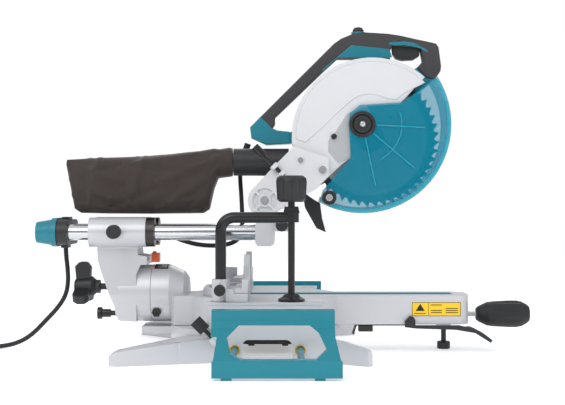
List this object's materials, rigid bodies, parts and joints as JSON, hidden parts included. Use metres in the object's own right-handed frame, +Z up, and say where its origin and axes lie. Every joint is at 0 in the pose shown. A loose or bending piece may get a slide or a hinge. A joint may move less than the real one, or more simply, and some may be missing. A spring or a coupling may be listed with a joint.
{
  "type": "sliding compound mitre saw",
  "caption": "Sliding mitre saw with a tilting head on two chrome poles, turntable, fence, work clamp, pull-out wings, clear lower guard and dust bag.",
  "frame": {"origin": "on the bench, below the turntable's axis, centre of the four bench bolt holes; 20 mm in front of the fence face", "axes": "+X towards the operator along the slide poles, +Y to the operator's right, +Z up"},
  "size_m": [0.9607, 0.66, 0.5135],
  "materials": {
    "silver_paint": "satin silver paint on cast metal",
    "white_paint": "satin light silver paint",
    "teal_paint": "gloss teal paint on cast metal",
    "teal_plastic": "satin teal plastic",
    "teal_clear": "clear teal polycarbonate",
    "yellow_zinc": "yellow zinc plating",
    "zinc_steel": "bright zinc plating",
    "dark_steel": "dark steel",
    "black_steel": "black painted steel",
    "polished_chrome": "polished hard chrome",
    "blade_steel": "ground steel",
    "black_plastic": "matt black plastic",
    "black_rubber": "matt black rubber",
    "grey_rubber": "dark grey soft-touch rubber",
    "orange_plastic": "orange plastic",
    "brown_fabric": "woven dark brown nylon"
  },
  "bodies": {
    "base": {"base_casting": "silver_paint", "rod_collars": "yellow_zinc", "underside_cover": "black_plastic", "fence": "silver_paint"},
    "sub_fence_left": {"sub_fence_left": "silver_paint"},
    "sub_fence_right": {"sub_fence_right": "silver_paint"},
    "wing_left": {"wing_left": "teal_paint"},
    "wing_right": {"wing_right": "teal_paint"},
    "wing_screw_left": {"wing_screw_left": "black_rubber"},
    "wing_screw_right": {"wing_screw_right": "black_rubber"},
    "clamp": {"clamp_rod": "black_steel"},
    "clamp_spindle": {"clamp_spindle": "black_steel", "clamp_plate": "black_steel", "clamp_knob": "black_plastic"},
    "clamp_screw": {"clamp_screw": "black_plastic"},
    "turntable": {"turntable": "silver_paint", "kerf_boards": "teal_plastic", "detent_spring": "dark_steel", "bevel_scale": "black_plastic", "adjusting_bolts": "black_steel", "grip_shaft": "zinc_steel"},
    "lock_lever": {"lock_lever": "black_plastic"},
    "foot_bolt": {"foot_bolt": "black_plastic"},
    "mitre_grip": {"mitre_grip": "black_rubber"},
    "bevel_arm": {"bevel_arm": "silver_paint", "slide_housing": "silver_paint", "housing_retainer": "dark_steel"},
    "bevel_lock_knob": {"bevel_lock_knob": "black_plastic"},
    "bevel_release_pin": {"bevel_release_pin": "black_steel"},
    "stop_lever": {"stop_lever": "orange_plastic"},
    "carriage_lock_knob": {"carriage_lock_knob": "black_plastic"},
    "carriage": {"slide_poles": "polished_chrome", "rear_cap": "teal_plastic", "cord_clamp": "black_plastic", "front_holder": "silver_paint", "chop_pin": "zinc_steel", "head_lead": "black_rubber", "mains_cord": "black_rubber", "cord_coil": "black_rubber", "plug": "black_rubber"},
    "head_lock_pin": {"head_lock_pin": "black_plastic"},
    "head": {"blade_case": "white_paint", "handle": "grey_rubber", "motor_housing": "teal_plastic", "button_collar": "teal_plastic", "case_screws": "zinc_steel", "dust_nozzle": "black_plastic", "dust_bag": "brown_fabric", "dust_flap": "black_rubber", "strain_relief": "black_rubber", "guard_bolt": "zinc_steel"},
    "depth_screw": {"depth_screw": "black_steel"},
    "trigger": {"trigger": "black_plastic"},
    "lock_off_button": {"lock_off_button": "black_plastic"},
    "blade": {"blade": "blade_steel", "blade_spindle": "zinc_steel", "blade_bolt": "zinc_steel"},
    "lower_guard": {"lower_guard": "teal_clear", "roller_pin": "zinc_steel"},
    "guard_roller": {"guard_roller": "black_rubber"}
  },
  "joints": [
    {"name": "mitre_swing", "type": "hinge", "parent": "base", "child": "turntable", "pos_m": [0, 0, 0.05], "axis": [0, 0, 1], "range_deg": [-47, 45]},
    {"name": "lock_lever_turn", "type": "hinge", "parent": "turntable", "child": "lock_lever", "pos_m": [0.2269, -0.03, 0.0474], "axis": [0, 1, 0], "range_deg": [0, 5]},
    {"name": "foot_bolt_travel", "type": "slide", "parent": "turntable", "child": "foot_bolt", "axis": [0, 0, 1], "range_m": [0, 0.008]},
    {"name": "mitre_grip_turn", "type": "hinge", "parent": "turntable", "child": "mitre_grip", "pos_m": [0.36, 0, 0.0547], "axis": [1, 0, 0], "continuous": true},
    {"name": "bevel_tilt", "type": "hinge", "parent": "turntable", "child": "bevel_arm", "pos_m": [-0.2, 0, 0.088], "axis": [-1, 0, 0], "range_deg": [-20, 5]},
    {"name": "bevel_lock_turn", "type": "hinge", "parent": "bevel_arm", "child": "bevel_lock_knob", "pos_m": [-0.26, 0, 0.098], "axis": [1, 0, 0], "range_deg": [-60, 0]},
    {"name": "bevel_release_pull", "type": "slide", "parent": "bevel_arm", "child": "bevel_release_pin", "axis": [-1, 0, 0], "range_m": [0, 0.012], "stiffness_N_per_m": 400, "springref_m": -0.004},
    {"name": "stop_lever_turn", "type": "hinge", "parent": "turntable", "child": "stop_lever", "pos_m": [-0.172, -0.002, 0.14], "axis": [0, 0, 1], "range_deg": [0, 25]},
    {"name": "carriage_lock_turn", "type": "hinge", "parent": "bevel_arm", "child": "carriage_lock_knob", "pos_m": [-0.227, -0.06, 0.186], "axis": [0, 1, 0], "continuous": true},
    {"name": "carriage_slide", "type": "slide", "parent": "bevel_arm", "child": "carriage", "axis": [1, 0, 0], "range_m": [-0.15, 0.025], "deforming": ["mains_cord"]},
    {"name": "chop", "type": "hinge", "parent": "carriage", "child": "head", "pos_m": [0.0025, 0, 0.2338], "axis": [0, 1, 0], "range_deg": [0, 44], "stiffness_Nm_per_rad": 14, "springref_deg": -74.48, "deforming": ["head_lead"]},
    {"name": "head_lock_pull", "type": "slide", "parent": "carriage", "child": "head_lock_pin", "axis": [0, -1, 0], "range_m": [0, 0.008]},
    {"name": "guard_swing", "type": "hinge", "parent": "head", "child": "lower_guard", "pos_m": [0.154, -0.034, 0.352], "axis": [0, -1, 0], "range_deg": [0, 100]},
    {"name": "roller_spin", "type": "hinge", "parent": "lower_guard", "child": "guard_roller", "pos_m": [0.10216, -0.041, 0.23825], "axis": [0, 1, 0], "continuous": true},
    {"name": "blade_spin", "type": "hinge", "parent": "head", "child": "blade", "pos_m": [0.1695, 0, 0.3315], "axis": [0, 1, 0], "continuous": true},
    {"name": "trigger_pull", "type": "hinge", "parent": "head", "child": "trigger", "pos_m": [0.216, 0.036, 0.487], "axis": [0, 1, 0], "range_deg": [-9, 0], "stiffness_Nm_per_rad": 0.5, "springref_deg": 11.46},
    {"name": "lock_off_press", "type": "slide", "parent": "head", "child": "lock_off_button", "axis": [0, 0, -1], "range_m": [0, 0.0025], "stiffness_N_per_m": 400, "springref_m": -0.003},
    {"name": "depth_screw_travel", "type": "slide", "parent": "head", "child": "depth_screw", "axis": [0.7071, 0, -0.7071], "range_m": [-0.006, 0.006]},
    {"name": "wing_left_slide", "type": "slide", "parent": "base", "child": "wing_left", "axis": [0, 1, 0], "range_m": [0, 0.094]},
    {"name": "wing_right_slide", "type": "slide", "parent": "base", "child": "wing_right", "axis": [0, -1, 0], "range_m": [0, 0.094]},
    {"name": "wing_screw_left_turn", "type": "hinge", "parent": "base", "child": "wing_screw_left", "pos_m": [-0.095, -0.1724, 0.062], "axis": [0.7071, 0, -0.7071], "range_deg": [-180, 0]},
    {"name": "wing_screw_right_turn", "type": "hinge", "parent": "base", "child": "wing_screw_right", "pos_m": [-0.095, 0.1724, 0.062], "axis": [0.7071, 0, -0.7071], "range_deg": [-180, 0]},
    {"name": "sub_fence_left_slide", "type": "slide", "parent": "base", "child": "sub_fence_left", "axis": [0, -1, 0], "range_m": [0, 0.045]},
    {"name": "sub_fence_right_slide", "type": "slide", "parent": "base", "child": "sub_fence_right", "axis": [0, 1, 0], "range_m": [0, 0.045]},
    {"name": "clamp_swivel", "type": "hinge", "parent": "base", "child": "clamp", "pos_m": [-0.06, -0.143, 0.15], "axis": [0, 0, 1], "range_deg": [-75, 0]},
    {"name": "clamp_feed", "type": "slide", "parent": "clamp", "child": "clamp_spindle", "axis": [0, 0, 1], "range_m": [0, 0.022]},
    {"name": "clamp_screw_turn", "type": "hinge", "parent": "base", "child": "clamp_screw", "pos_m": [-0.06, -0.17, 0.105], "axis": [0, 1, 0], "range_deg": [-180, 0]}
  ],
  "couplings": [
    {"joint": "guard_swing", "follows": "chop", "ratio": 2.25}
  ]
}
